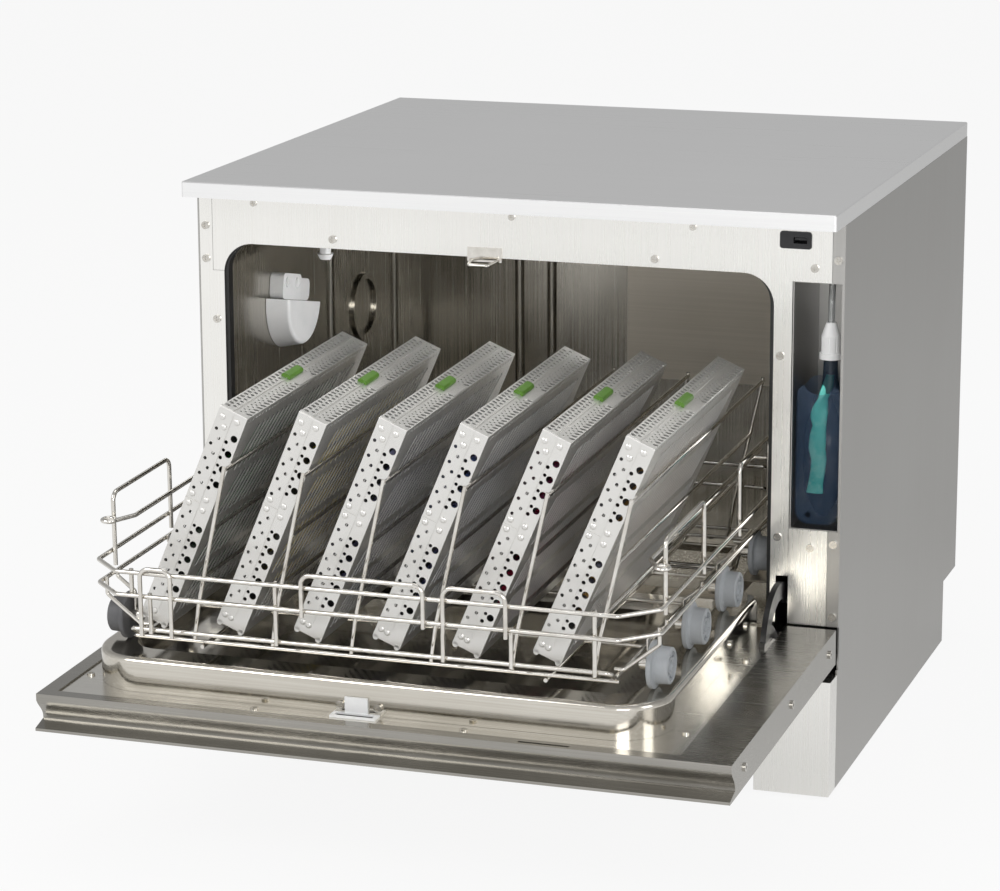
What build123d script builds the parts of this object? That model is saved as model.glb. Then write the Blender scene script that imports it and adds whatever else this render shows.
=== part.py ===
from build123d import *
import math
import os

# Washer-disinfector, millimetres. X runs to the right, Y towards the back, Z up.
# Drawn from the front edge of the top cover, then set with the origin on the bench under the
# middle of the footprint.

# Cabinet
cab_w = 600.0
cab_d = 566.0
cab_h = 522.0
lid_t = 14.0
sheet = 1.5
fascia_y = 35.0
fascia_bottom = 151.0
foot_h = 3.0
kick_y = 9.0
kick_w = 68.0
kick_h = 108.0
plinth_y = 60.0
rear_notch_d = 60.0
rear_notch_h = 65.0

# Chamber and its opening
open_left = -cab_w / 2 + 25.0
open_right = cab_w / 2 - 62.0
open_top = cab_h - 60.0
open_r = 28.0
tub_left = open_left - 1.0
tub_right = open_right + 2.0
tub_floor = 112.0
tub_top = open_top + 6.0
tub_back = cab_d - 36.0
tub_r = 30.0
load_x = (open_left + open_right) / 2
load_y = 300.0

# Detergent bay
bay_left = open_right + 16.0
bay_bottom = 237.0
bay_top = cab_h - 65.0
bay_d = 95.0

# Door, drawn level and then set at its open angle
hinge_y = 21.5
hinge_z = 138.5
door_sag = 1.4
door_front = -325.0
door_rear = 30.0
door_top = 150.0
door_t = 31.5
lap = 1.3
flange_left = -cab_w / 2 + 15.0
flange_right = cab_w / 2 - 45.0
flange_front = -313.0
pan_left = open_left + 5.0
pan_right = open_right - 6.0
pan_front = -293.0
pan_rear = 28.0
pan_h = 28.0
pan_recess = 14.0
pan_t = 1.3
rim_w = 28.0

# Basket
rail_half = (tub_right - tub_left) / 2 - 13.0
rail_front = -296.0
rail_rear = 168.0
rail_cut = 28.0
rail_z = 254.0
rail_mid_z = 234.0
wire = 1.9
thin_wire = 1.7
weld = 2 * wire + 0.04
thin_weld = wire + thin_wire + 0.04
cradle_z = 191.2
base_half = 208.0
base_front_z = 203.0
base_z = cradle_z + thin_weld
handle_z = 305.0
grip_z = 284.0
eye_r = 5.5
divider_top_z = 341.0
divider_first_x = -145.0
divider_pitch = 69.6
divider_front = -272.0
divider_rear = 144.0

# Wheels
tread_r = 15.5
wheel_flange_r = 20.0
wheel_in = rail_half - 16.0
wheel_out = rail_half + 1.0
axle_r = 3.0
axle_reach = 11.0
running = 0.05
wheel_rows = [-241.0, -134.7, -28.3, 83.0]
wheel_z = door_top + pan_h + wheel_flange_r + 0.2

# Cassettes
cas_t = 26.0
cas_l = 279.0
cas_h = 203.0
cas_wall = 1.0
cas_lean = 23.1
cas_front = -252.0
cas_z = 203.6
cas_back_off = 90.0
cas_count = 6

os.makedirs("parts", exist_ok=True)


def save(shape, name):
    # the origin is on the bench under the middle of the footprint, door open
    placed = [Pos(0, -middle_y, 0) * solid for solid in shape.solids()]
    export_step(placed[0] if len(placed) == 1 else Compound(children=placed), "parts/" + name + ".step")


def slab(x0, x1, y0, y1, z0, z1):
    size = Box(x1 - x0, y1 - y0, z1 - z0)
    return Pos((x0 + x1) / 2, (y0 + y1) / 2, (z0 + z1) / 2) * size


def rod_x(x0, x1, y, z, r):
    return Pos((x0 + x1) / 2, y, z) * (Rot(0, 90, 0) * Cylinder(r, x1 - x0))


def rod_y(x, y0, y1, z, r):
    return Pos(x, (y0 + y1) / 2, z) * (Rot(90, 0, 0) * Cylinder(r, y1 - y0))


def rod_z(x, y, z0, z1, r):
    return Pos(x, y, (z0 + z1) / 2) * Cylinder(r, z1 - z0)


def bent_wire(points, r, bend):
    path = FilletPolyline(*points, radius=bend)
    start = path @ 0
    section = Plane(origin=start, z_dir=path % 0) * Circle(r)
    return sweep(section, path=path)


def closed_wire(points, r, bend):
    path = FilletPolyline(*points, radius=bend, close=True)
    section = Plane(origin=path @ 0, z_dir=path % 0) * Circle(r)
    return sweep(section, path=path)


def xz_plate(face, y0, y1):
    # a face drawn in X and Z becomes a plate from y0 to y1
    return extrude(Plane((0, y1, 0), x_dir=(1, 0, 0), z_dir=(0, -1, 0)) * face, y1 - y0)


def xz_rect(x0, x1, z0, z1):
    return Pos((x0 + x1) / 2, (z0 + z1) / 2) * Rectangle(x1 - x0, z1 - z0)


def xz_round(x0, x1, z0, z1, r):
    return Pos((x0 + x1) / 2, (z0 + z1) / 2) * RectangleRounded(x1 - x0, z1 - z0, r)


def at_open(shape):
    # the open door hangs a little below level, and the load on it follows
    return shape.rotate(Axis((0, hinge_y, hinge_z), (1, 0, 0)), door_sag)


def pan_head(x, y, z, r, direction):
    head = Cylinder(r, 1.6)
    for a, b in ((1.2, 0.25), (0.25, 1.2)):
        head -= Pos(0, 0, 0.5) * Box(r * a, r * b, 1.0)
    return Pos(x, y, z) * (direction * (Pos(0, 0, 0.8) * head))


facing_front = Rot(90, 0, 0)
facing_up = Rot(0, 0, 0)
facing_right = Rot(0, 90, 0)
half_w = cab_w / 2
lid_under = cab_h - lid_t
side_top = lid_under - 0.2


# Cabinet skins
def top_cover():
    lid = slab(-half_w, half_w, 0, cab_d, lid_under, cab_h)
    lid = fillet(lid.edges().filter_by(Axis.Z), 2.0)
    lid = chamfer(lid.edges().group_by(Axis.Z)[-1], 0.8)
    inner_w = half_w - sheet
    hollow = slab(-inner_w, inner_w, fascia_y + 1.0, cab_d - sheet, lid_under - 1, cab_h - sheet)
    return lid - hollow


def side_profile(front_low):
    return [
        (fascia_y, side_top),
        (fascia_y, fascia_bottom),
        (front_low, fascia_bottom),
        (front_low, kick_h + 4),
        (fascia_y, kick_h + 4),
        (fascia_y, foot_h),
        (cab_d - rear_notch_d, foot_h),
        (cab_d - rear_notch_d, rear_notch_h),
        (cab_d, rear_notch_h),
        (cab_d, side_top),
    ]


def side_panel(side):
    outline = Plane.YZ * make_face(Polyline(*side_profile(fascia_y + 4.0), close=True))
    panel = extrude(outline, sheet)
    x = half_w - sheet if side > 0 else -half_w
    panel = Pos(x, 0, 0) * panel
    if side > 0:
        upper = slab(half_w - 11, half_w - sheet, fascia_y, fascia_y + sheet, bay_top, side_top)
        lower = slab(half_w - 11, half_w - sheet, fascia_y, fascia_y + sheet, fascia_bottom, bay_bottom)
        panel = panel + upper + lower
    rear = slab(-half_w + sheet, -half_w + 16, cab_d - sheet, cab_d, rear_notch_h, side_top)
    if side > 0:
        rear = slab(half_w - 16, half_w - sheet, cab_d - sheet, cab_d, rear_notch_h, side_top)
    return panel + rear


def back_panel():
    panel = slab(-half_w + 16.4, half_w - 16.4, cab_d - sheet, cab_d, rear_notch_h, side_top)
    vent = Sketch()
    for row in range(6):
        vent += Pos(150, 380 + row * 14) * SlotOverall(150, 5)
        vent += Pos(-150, 380 + row * 14) * SlotOverall(150, 5)
    panel = panel - xz_plate(vent, cab_d - 3, cab_d + 1)
    for x, z, r in ((-220, 110, 13.2), (-160, 110, 13.2), (-90, 105, 12.2)):
        panel = panel - rod_y(x, cab_d - 4, cab_d + 2, z, r)
    return panel - slab(183.8, 214.2, cab_d - 4, cab_d + 2, 98.8, 121.2)


def base_tray():
    x = half_w - sheet - 0.3
    tray = slab(-x, x, plinth_y + 2, cab_d - rear_notch_d - 0.3, 24, 48)
    tray = tray - slab(-x + sheet, x - sheet, plinth_y + 4, cab_d - rear_notch_d - 2, 24 + sheet, 60)
    shelf = slab(-x, x, cab_d - rear_notch_d, cab_d - sheet - 0.3, rear_notch_h, rear_notch_h + sheet)
    web = slab(-x, x, cab_d - rear_notch_d - 0.3, cab_d - rear_notch_d + sheet, 24, rear_notch_h + sheet)
    return tray + shelf + web


def feet():
    pads = []
    for x in (-250, 250):
        for y in (plinth_y + 40, cab_d - rear_notch_d - 45):
            pad = Pos(x, y, 0) * extrude(Circle(20), 12)
            pad = fillet(pad.edges().group_by(Axis.Z)[0], 2)
            pads.append(pad + rod_z(x, y, 12, 24, 5))
    return Compound(children=pads)


def opening_face():
    body = xz_round(open_left, open_right, 40, open_top, open_r)
    return body


def hinge_slot(x):
    return xz_rect(x - 5.5, x + 5.5, fascia_bottom - 5, 194)


hinge_right_x = open_right + 10.5
hinge_left_x = open_left - 6.0


def front_frame():
    face = xz_rect(-half_w + 14.4, half_w - 11.3, fascia_bottom, side_top)
    face -= xz_rect(-half_w, open_left + 0.3, 0, 436.3)
    face -= xz_rect(bay_left, half_w, 0, bay_top)
    face -= opening_face()
    face -= hinge_slot(hinge_right_x)
    face -= xz_round(245.0, 268.0, 487.2, 498.8, 1.5)
    return xz_plate(face, fascia_y, fascia_y + sheet)


def left_post():
    face = xz_rect(-half_w + sheet + 0.2, -half_w + 14.1, fascia_bottom, side_top)
    face += xz_rect(-half_w + sheet + 0.2, open_left, fascia_bottom, 436)
    face -= hinge_slot(hinge_left_x)
    return xz_plate(face, fascia_y, fascia_y + sheet)


def lower_front_plate():
    face = xz_rect(bay_left + 0.3, half_w - 11.3, fascia_bottom, bay_bottom)
    return xz_plate(face, fascia_y, fascia_y + sheet)


def kick_cover():
    x0 = half_w - kick_w
    cover = slab(x0, half_w, kick_y, fascia_y - 0.3, foot_h, kick_h)
    cover = fillet(cover.edges().filter_by(Axis.Z).group_by(Axis.Y)[0], 1.2)
    inside = slab(x0 + sheet, half_w - sheet, kick_y + sheet, fascia_y + 5, foot_h - 1, kick_h - sheet)
    return cover - inside


def plinth_front():
    x0 = -half_w + sheet + 0.3
    x1 = half_w - sheet - 0.3
    plate = slab(x0, x1, plinth_y, plinth_y + sheet, foot_h, tub_floor - 6)
    shelf = slab(x0, x1, fascia_y + 6, plinth_y, tub_floor - 6 - sheet, tub_floor - 6)
    plinth = plate + shelf
    for x in (hinge_left_x, hinge_right_x):
        plinth -= slab(x - 5.5, x + 5.5, fascia_y + 7, plinth_y + 5, tub_floor - 20, tub_floor)
    return plinth


# Wash chamber
def tub():
    outer = xz_round(tub_left - 1.2, tub_right + 1.2, tub_floor - 1.2, tub_top + 1.2, tub_r + 1.2)
    inner = xz_round(tub_left, tub_right, tub_floor, tub_top, tub_r)
    front = fascia_y + sheet + 0.3
    shell = xz_plate(outer, front, tub_back + 1.2) - xz_plate(inner, front - 2, tub_back)
    mid_z = (tub_floor + tub_top) / 2 + 20
    for x in (-156, -121):
        shell += Pos(x, tub_back, mid_z) * Cylinder(5, 250)
    for y in (300, 480):
        shell += Pos(tub_left, y, mid_z + 10) * Cylinder(4, 220)
        shell += Pos(tub_right, y, mid_z + 10) * Cylinder(4, 220)
    ring = Pos(tub_left, 390, 335) * (Rot(0, 90, 0) * (Cylinder(34, 6) - Cylinder(28, 8)))
    shell += ring
    shell -= slab(tub_left - 40, tub_left - 1.2, 0, cab_d, 0, cab_h)
    shell -= slab(tub_right + 1.2, tub_right + 40, 0, cab_d, 0, cab_h)
    shell -= slab(-half_w, half_w, tub_back + 1.2, tub_back + 40, 0, cab_h)
    shell -= rod_z(load_x, load_y, tub_floor - 5, tub_floor + 5, 62)
    return shell


def back_plate():
    face = xz_round(-38, 200, 250, 372, 6)
    plate = xz_plate(face, tub_back - 6.5, tub_back - 5)
    for x in (-20, 182):
        for z in (265, 357):
            plate += rod_y(x, tub_back - 5, tub_back - 0.1, z, 5)
    return plate


def door_gasket():
    outer = xz_round(tub_left + 0.2, tub_right - 0.2, tub_floor + 0.2, tub_top - 0.2, tub_r - 0.2)
    inner = xz_round(tub_left + 4.6, tub_right - 5.6, tub_floor + 5, open_top + 1.0, open_r - 1)
    front = fascia_y + sheet + 0.4
    ring = xz_plate(outer - inner, front, front + 9)
    # extruded lengths butted against moulded corners
    seam = 0.02
    corner = tub_r + 2
    low = tub_floor + corner
    high = tub_top - corner
    left = tub_left + corner
    right = tub_right - corner
    lengths = [ring & slab(left + seam, right - seam, 0, 60, high, tub_top)]
    for x0, x1 in ((-half_w, left - seam), (right + seam, half_w)):
        lengths.append(ring & slab(x0, x1, 0, 60, tub_floor + 14, low - seam))
        lengths.append(ring & slab(x0, x1, 0, 60, low + seam, high - seam))
        lengths.append(ring & slab(x0, x1, 0, 60, high + seam, tub_top))
    return Compound(children=lengths)


def track(side):
    wall = tub_right - 0.3 if side > 0 else tub_left + 0.3
    lip = load_x + side * 222
    x0 = min(wall, lip)
    x1 = max(wall, lip)
    top = door_top + pan_h
    shelf = slab(x0, x1, 66, tub_back - 6, top - 2, top)
    lip0 = lip if side > 0 else lip - 2
    shelf += slab(lip0, lip0 + 2, 66, tub_back - 6, top - 14, top - 2)
    for y in (110, 290, 470):
        shelf += slab(x0, x1, y - 1, y + 1, top - 14, top - 2)
    return at_open(shelf)


striker_z = open_top - 3.2
striker_r = 1.6


def closed_y(z):
    # where a height on the cabinet meets the level door once it's shut
    return hinge_y + hinge_z - z


def striker_slot(z0, z1):
    reach = striker_r + 1.0
    return slab(-41.5, -8.5, closed_y(striker_z + reach + 0.9), closed_y(striker_z - reach - 0.2), z0, z1)


def striker():
    low = striker_z - 0.6
    top = striker_z + 0.9
    front = fascia_y - 0.1
    loop = bent_wire([(-38, front, top), (-34, 16, low), (-16, 16, low), (-12, front, top)], striker_r, 3)
    plate = slab(-41, -9, front - 1.4, front, open_top + 0.2, open_top + 9)
    plate += slab(-41, -9, front - 1.4, front, top - 1.4, open_top + 0.4)
    return loop - slab(-60, 10, front, front + 9, 400, 500) + plate


def usb_port():
    bezel = xz_plate(xz_round(242.5, 270.5, 485.5, 500.5, 2.5), fascia_y - 1.2, fascia_y - 0.05)
    bezel = bezel + xz_plate(xz_round(245.2, 267.8, 487.4, 498.6, 1.4), fascia_y - 0.1, fascia_y + 16)
    port = xz_plate(xz_rect(254.5, 266.5, 490.2, 495.6), fascia_y - 3, fascia_y + 12)
    tongue = xz_plate(xz_rect(255.3, 265.7, 493.0, 494.8), fascia_y + 1, fascia_y + 12)
    return bezel - port + tongue


def duct_cover():
    # a white half cone on the left wall, its flat edge up, under a screwed bracket
    cone = Pos(11, 0, 0) * (Rot(0, 90, 0) * Cone(45, 40.5, 22))
    cone = fillet(cone.edges().filter_by(GeomType.CIRCLE).group_by(Axis.X)[-1], 4)
    hollow = Pos(9, 0, 0) * (Rot(0, 90, 0) * Cone(43, 38.5, 22))
    cover = cone - hollow - Pos(10, 0, 50) * Box(60, 130, 100)
    block = slab(0, 13.6, -38, 8, 0.5, 25)
    block = fillet(block.edges().filter_by(Axis.X), 6)
    ear = slab(0, 3.5, -14, 55, 0.5, 21.5)
    bracket = block + fillet(ear.edges().filter_by(Axis.X).group_by(Axis.Y)[-1], 6)
    for y, z in ((-29, 17), (-4, 16.5)):
        bracket += pan_head(13.6, y, z, 5, facing_right)
    wall = Pos(tub_left + 0.4, 178, 382) * Rot(-12, 0, 0)
    return wall * Compound(children=[cover, bracket])


def ceiling_nozzle():
    nozzle = Pos(-190, 70, tub_top - 9.3) * Cylinder(5, 18)
    return nozzle + Pos(-190, 70, tub_top - 20.3) * Cone(5, 7.5, 5)


def sump_filter():
    z = tub_floor
    cup = rod_z(load_x, load_y, z - 38, z + 3, 61.5) - rod_z(load_x, load_y, z - 35, z + 5, 57)
    brim = rod_z(load_x, load_y, z + 0.2, z + 3, 74) - rod_z(load_x, load_y, z - 2, z + 5, 59)
    return cup + brim + rod_z(load_x, load_y, z - 36, z + 22, 11)


def spray_arm():
    z0 = tub_floor + 22.3
    hub = rod_z(load_x, load_y, z0, z0 + 16, 17)
    blade = Pos(load_x, load_y, z0 + 8) * extrude(SlotOverall(390, 30), 4, both=True)
    blade = fillet(blade.edges().group_by(Axis.Z)[-1], 2.0)
    arm = hub + blade
    for step in (-170, -130, -90, -50, 50, 90, 130, 170):
        side = 5 if step > 0 else -5
        arm -= rod_z(load_x + step, load_y + side, z0 + 9, z0 + 14, 2.2)
    return arm


# Detergent bay
def bay_liner():
    x0 = bay_left + 0.4
    x1 = half_w - sheet - 0.3
    y0 = fascia_y + sheet + 0.2
    box = slab(x0, x1, y0, y0 + bay_d, bay_bottom - 0.2, bay_top + 0.2)
    return box - slab(x0 + 1, x1 - 1, y0 - 5, y0 + bay_d - 1, bay_bottom + 0.8, bay_top - 0.8)


pouch_x = bay_left + 22.5
pouch_y = 60.0
neck_x = pouch_x + 6.5


def bag_outline(half, top, bottom):
    return Pos(pouch_x, (top + bottom) / 2) * RectangleRounded(2 * half, top - bottom, 12)


def bag_holder():
    outer = xz_plate(bag_outline(19.5, 366, 240), pouch_y - 15, pouch_y + 20)
    outer -= xz_plate(bag_outline(18.3, 372, 241.2), pouch_y - 13.8, pouch_y + 18.8)
    scoop = rod_y(pouch_x, pouch_y - 30, pouch_y - 10, 372, 16)
    eyelet = rod_y(pouch_x - 8, pouch_y - 30, pouch_y - 10, 248, 2.5)
    return outer - scoop - eyelet


def detergent_bag():
    bag = xz_plate(bag_outline(17.6, 360, 242.2), pouch_y - 12, pouch_y + 17)
    bag = fillet(bag.edges().filter_by(Axis.Y, reverse=True).group_by(Axis.Y)[0], 5)
    neck = Pos(neck_x, pouch_y, 372) * Cone(9, 6, 26)
    return bag + neck


def bag_cap():
    cap = Pos(neck_x, pouch_y, 396) * Cylinder(8.5, 20) + Pos(neck_x, pouch_y, 412) * Cone(8.5, 4.5, 12)
    collar = Pos(neck_x, pouch_y, 388.5) * Cylinder(10, 5)
    cap = cap + collar
    for turn in range(8):
        angle = math.radians(turn * 45)
        groove = Pos(neck_x + 9.3 * math.cos(angle), pouch_y + 9.3 * math.sin(angle), 399)
        cap -= groove * Cylinder(1.2, 14)
    return cap


def suction_tube():
    path = [(neck_x, pouch_y, 418.2), (neck_x, pouch_y, 436), (neck_x - 2, pouch_y + 12, bay_top - 4)]
    return bent_wire(path, 3, 6)


# Rear services
inlet_z = 110.0
inlet_r = 13.0
drain_reach = 24.0


def water_inlets():
    pieces = []
    for x in (-220, -160):
        body = rod_y(x, cab_d + 3.9, cab_d + 16, inlet_z, inlet_r)
        body += rod_y(x, cab_d - 30, cab_d + 3.9, inlet_z, 12.4)
        body -= rod_y(x, cab_d - 4, cab_d + 20, inlet_z, 8)
        hexagon = Rot(90, 0, 0) * extrude(RegularPolygon(17, 6), 1.95, both=True)
        nut = Pos(x, cab_d + 2.05, inlet_z) * hexagon
        nut -= rod_y(x, cab_d - 2, cab_d + 6, inlet_z, 8)
        pieces.append(body + nut)
    return pieces


def drain_outlet():
    stub = rod_y(-90, cab_d - 30, cab_d + drain_reach, 105, 10)
    for step in (8, 13, 18):
        stub += rod_y(-90, cab_d + step, cab_d + step + 2.5, 105, 11.4)
    stub += rod_y(-90, cab_d + 0.1, cab_d + 3, 105, 16)
    return stub - rod_y(-90, cab_d - 25, cab_d + 40, 105, 8)


def power_inlet():
    body = slab(184, 214, cab_d - 22, cab_d + 0.1, 99, 121)
    body += slab(180, 218, cab_d + 0.1, cab_d + 2.5, 95, 125)
    body -= slab(187, 211, cab_d - 15, cab_d + 5, 102, 118)
    for x in (192, 199, 206):
        body += slab(x - 1, x + 1, cab_d - 16, cab_d - 2, 107.5, 112.5)
    return body


def cabinet_screws():
    heads = []
    places = [(-292.4, 477), (-292.4, 446.6), (-283, 391), (-169, 470.5), (131, 469.5), (273.6, 469.2),
              (294, 477), (244.2, 391), (244.2, 229), (273.7, 221), (294.4, 226), (294.4, 160), (-283, 225)]
    for x, z in places:
        heads.append(pan_head(x, fascia_y, z, 3.6, facing_front))
    for x in (-245, 0, 165):
        heads.append(pan_head(x, fascia_y, 499.5, 3.0, facing_front))
    for x in (-260, -90, 90, 260):
        for z in (rear_notch_h + 14, side_top - 14):
            heads.append(pan_head(x, cab_d, z, 3.6, Rot(-90, 0, 0)))
    return Compound(children=heads)


def hinge_bracket(x, side):
    # the fixed cheek with the pin that the door arm turns on
    near = x + side * 3.2
    far = x + side * 5.6
    x0 = min(near, far)
    x1 = max(near, far)
    cheek = slab(x0, x1, hinge_y - 7, fascia_y + 40, hinge_z - 7, hinge_z + 9)
    cheek = fillet(cheek.edges().filter_by(Axis.X).group_by(Axis.Y)[0], 6)
    tip = x - side * 3.4
    pin = rod_x(min(tip, near + side * 0.5), max(tip, near + side * 0.5), hinge_y, hinge_z, 4)
    foot = slab(x0, x1, fascia_y + 20, fascia_y + 40, tub_floor - 5.8, hinge_z)
    return cheek + pin + foot


# Door
def door_skin_face(inset):
    low = door_top - door_t + inset
    front = door_front + inset
    top = door_top + (5 if inset else 0)
    rear = door_rear - inset
    lip = door_front - 4
    if inset:
        line = Polyline((rear, top), (rear, low), (door_front + 16, low), (door_front + 16, low + 8))
        curve = Spline((door_front + 16, low + 8), (front + 7, low + 17), (front, low + 24))
        close_line = Polyline((front, low + 24), (front, top), (rear, top))
        return make_face(Curve() + line + curve + close_line)
    neck = door_front + 11.5
    line = Polyline((rear, top), (rear, low), (lip, low), (lip, low + 2.5), (neck, low + 6.5))
    curve = Spline((neck, low + 6.5), (neck - 1, low + 12), (neck - 7, low + 19.5), (door_front, low + 26))
    close_line = Polyline((door_front, low + 26), (door_front, top), (rear, top))
    return make_face(Curve() + line + curve + close_line)


def hinge_notches():
    cuts = []
    for x in (hinge_left_x, hinge_right_x):
        cuts.append(slab(x - 6.5, x + 6.8, -4, door_rear + 5, door_top - door_t - 5, door_top + 5))
    return cuts


def door_shell():
    reach = half_w - 0.6
    skin = extrude(Plane.YZ * door_skin_face(0), reach, both=True)
    hollow = extrude(Plane.YZ * door_skin_face(1.4), reach - 1.4, both=True)
    lip_top = slab(-reach, flange_left, door_front, door_rear, door_top - lap, door_top)
    lip_top += slab(flange_right, reach, door_front, door_rear, door_top - lap, door_top)
    lip_top += slab(-reach, reach, door_front, flange_front, door_top - lap, door_top)
    slot = slab(122, 165, door_front + 3.5, door_front + 6.5, door_top - 3, door_top + 1)
    shell = (skin - hollow + lip_top) - slot
    for notch in hinge_notches():
        shell -= notch
    return at_open(shell)


def door_panel():
    top = door_top - lap - 0.1
    x0 = -half_w + 2.4
    x1 = half_w - 2.4
    panel = slab(x0, x1, door_front + 1.8, door_rear - 1.8, top - 1.2, top)
    for notch in hinge_notches():
        panel -= notch
    panel -= striker_slot(top - 5, top + 5)
    window = slab(pan_left + 34, pan_right - 34, pan_front + 34, pan_rear - 34, 100, 200)
    return at_open(panel - window)


def pan_plan(inset, front_r, rear_r):
    x0 = pan_left + inset
    x1 = pan_right - inset
    y0 = pan_front + inset
    y1 = pan_rear - inset
    face = Pos((x0 + x1) / 2, (y0 + y1) / 2) * Rectangle(x1 - x0, y1 - y0)
    face = fillet(face.vertices().group_by(Axis.Y)[0], front_r)
    return fillet(face.vertices().group_by(Axis.Y)[-1], rear_r)


def door_pan():
    base = door_top - lap
    top = door_top + pan_h
    outer = extrude(Pos(0, 0, base) * pan_plan(0, 46, 14), top - base)
    outer = fillet(outer.edges().group_by(Axis.Z)[-1], 5)
    basin = extrude(Pos(0, 0, top) * pan_plan(rim_w, 26, 8), -pan_recess, taper=20)
    under = extrude(Pos(0, 0, base - 1) * pan_plan(pan_t, 46 - pan_t, 14 - pan_t), top - pan_t - base + 1)
    under = fillet(under.edges().group_by(Axis.Z)[-1], 5 - pan_t)
    shell = Pos(0, 0, top) * pan_plan(rim_w - pan_t, 26 + pan_t, 8 + pan_t)
    keep = extrude(shell, -pan_recess - pan_t, taper=20)
    return at_open(outer - basin - (under - keep))


latch_t = 1.6


def latch_plate():
    low = door_top - lap
    plate = slab(-45, -5, pan_front - 12, pan_front - 0.3, low, low + latch_t)
    plate -= striker_slot(low - 1, low + 4)
    plate += slab(-35, -15, pan_front - 2.3, pan_front - 0.3, low + latch_t - 0.2, low + 15)
    return at_open(plate)


def door_arm(x):
    # a curved arm that turns about the pin and reaches round the fascia
    outer_r = 52.0
    inner_r = 37.0
    ring = Circle(outer_r) - Circle(inner_r)
    wedge = make_face(Polyline((0, 10.4), (-80, 10.4), (-80, 90), (90, 90), (90, 70), close=True))
    arc = ring & wedge
    web = [(-2, 4), (-25, 22), (-44, 26), (-48, 10.4), (-24, 10.4), (-7, -2)]
    spoke = make_face(Polyline(*web, close=True))
    hub = Circle(8.5)
    face = (arc + spoke + hub) - Circle(4 + running)
    arm = extrude(Plane((x - 2.5, hinge_y, hinge_z), x_dir=(0, 1, 0), z_dir=(1, 0, 0)) * face, 5.0)
    foot_z = door_top - lap
    foot = slab(x - 2.5, x + 2.5, -32, -12, foot_z, foot_z + 4)
    return at_open(arm + foot)


def door_screws():
    heads = []
    panel_z = door_top - lap - 0.1
    for x, y in ((244.5, -259), (244.5, -70), (-278, -263), (-278, -90), (-111, -305), (71, -305)):
        heads.append(pan_head(x, y, panel_z, 3.4, facing_up))
    for x in (-39.5, -6.5):
        heads.append(pan_head(x, pan_front - 0.6, door_top + 6, 3.6, facing_front))
    for y in (-75, -23):
        heads.append(pan_head(pan_right, y, door_top + 14, 3.6, facing_right))
    for y in (-285, -130, 6):
        heads.append(pan_head(half_w - 0.6, y, door_top - 15, 3.6, facing_right))
        heads.append(pan_head(-half_w + 0.6, y, door_top - 15, 3.6, Rot(0, -90, 0)))
    return at_open(Compound(children=heads))


# Basket
def plan_points(half, y0, y1, cut, z):
    return [
        (load_x - half + cut, y0, z), (load_x + half - cut, y0, z), (load_x + half, y0 + cut - 1, z),
        (load_x + half, y1 - cut + 1, z), (load_x + half - cut, y1, z), (load_x - half + cut, y1, z),
        (load_x - half, y1 - cut + 1, z), (load_x - half, y0 + cut - 1, z),
    ]


def hoop(x0, x1, y, z_top, z_low, r):
    return bent_wire([(x0, y, z_low), (x0, y, z_top), (x1, y, z_top), (x1, y, z_low)], r, 8)


def side_hoop(x, y0, y1, z_top, z_low, r):
    return bent_wire([(x, y0, z_low), (x, y0, z_top), (x, y1, z_top), (x, y1, z_low)], r, 8)


def wires(pieces):
    # welded wires lie side by side, each one a solid of its own
    return at_open(Compound(children=pieces))


def basket_rails():
    rings = []
    for z in (rail_mid_z, rail_z):
        rings.append(closed_wire(plan_points(rail_half, rail_front, rail_rear, rail_cut, z), wire, 6))
    return wires(rings)


def basket_handles():
    loops = []
    front = rail_front - weld
    loops.append(hoop(-69, 36, front, 266, rail_mid_z - 4, wire))
    loops.append(hoop(53, 106, front, 266, rail_mid_z - 6, wire))
    loops.append(hoop(-212, -185, front, 259, base_front_z - 2, wire))
    for side in (-1, 1):
        x = load_x + side * (rail_half - weld)
        bar_x = load_x + side * (rail_half - 19)
        loops.append(side_hoop(x, -244, -128, handle_z, rail_z - 12, wire))
        loops.append(side_hoop(x, -13, 88, handle_z, rail_z - 12, wire))
        eye_y = -244 - weld - eye_r
        start = (x - side * eye_r, eye_y, grip_z)
        grip = bent_wire([start, (bar_x, eye_y + 20, grip_z), (bar_x, 120, grip_z)], wire, 6)
        grip += Pos(x, eye_y, grip_z) * Torus(eye_r, wire)
        grip += rod_x(min(bar_x, x), max(bar_x, x), 88 + weld, grip_z, wire)
        loops.append(grip)
    return wires(loops)


def basket_base():
    left = load_x - base_half
    right = load_x + base_half
    front_post = rail_front + weld
    rear_post = rail_rear - weld
    front = front_post + weld
    rear = rear_post - weld
    slope = front + 14
    low = [(left, front, base_front_z), (right, front, base_front_z), (right, slope, base_z)]
    low += [(right, rear, base_z), (left, rear, base_z), (left, slope, base_z)]
    pieces = [closed_wire(low, wire, 5)]
    for y in (divider_front, -180, -60, 20, divider_rear):
        pieces.append(rod_x(left - 3, right + 3, y, cradle_z, thin_wire))
    for x in (load_x - 150, load_x + 150):
        rod_z0 = cradle_z - 2 * thin_wire - 0.04
        pieces.append(rod_y(x, divider_front - 4, divider_rear + 4, rod_z0, thin_wire))
    for x in (-95, 178):
        pieces.append(rod_z(x, front_post, base_front_z - 2, rail_z + 2, wire))
    for x in (-207, 50, 108):
        pieces.append(rod_z(x, front_post, base_front_z - 2, rail_mid_z + 2, wire))
    pieces.append(rod_z(-223, front_post, rail_mid_z - 2, rail_z + 2, wire))
    for x in (-207, -60, 60, 178):
        pieces.append(rod_z(x, rear_post, base_z - 2, rail_z + 2, wire))
    return wires(pieces + basket_stems())


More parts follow.
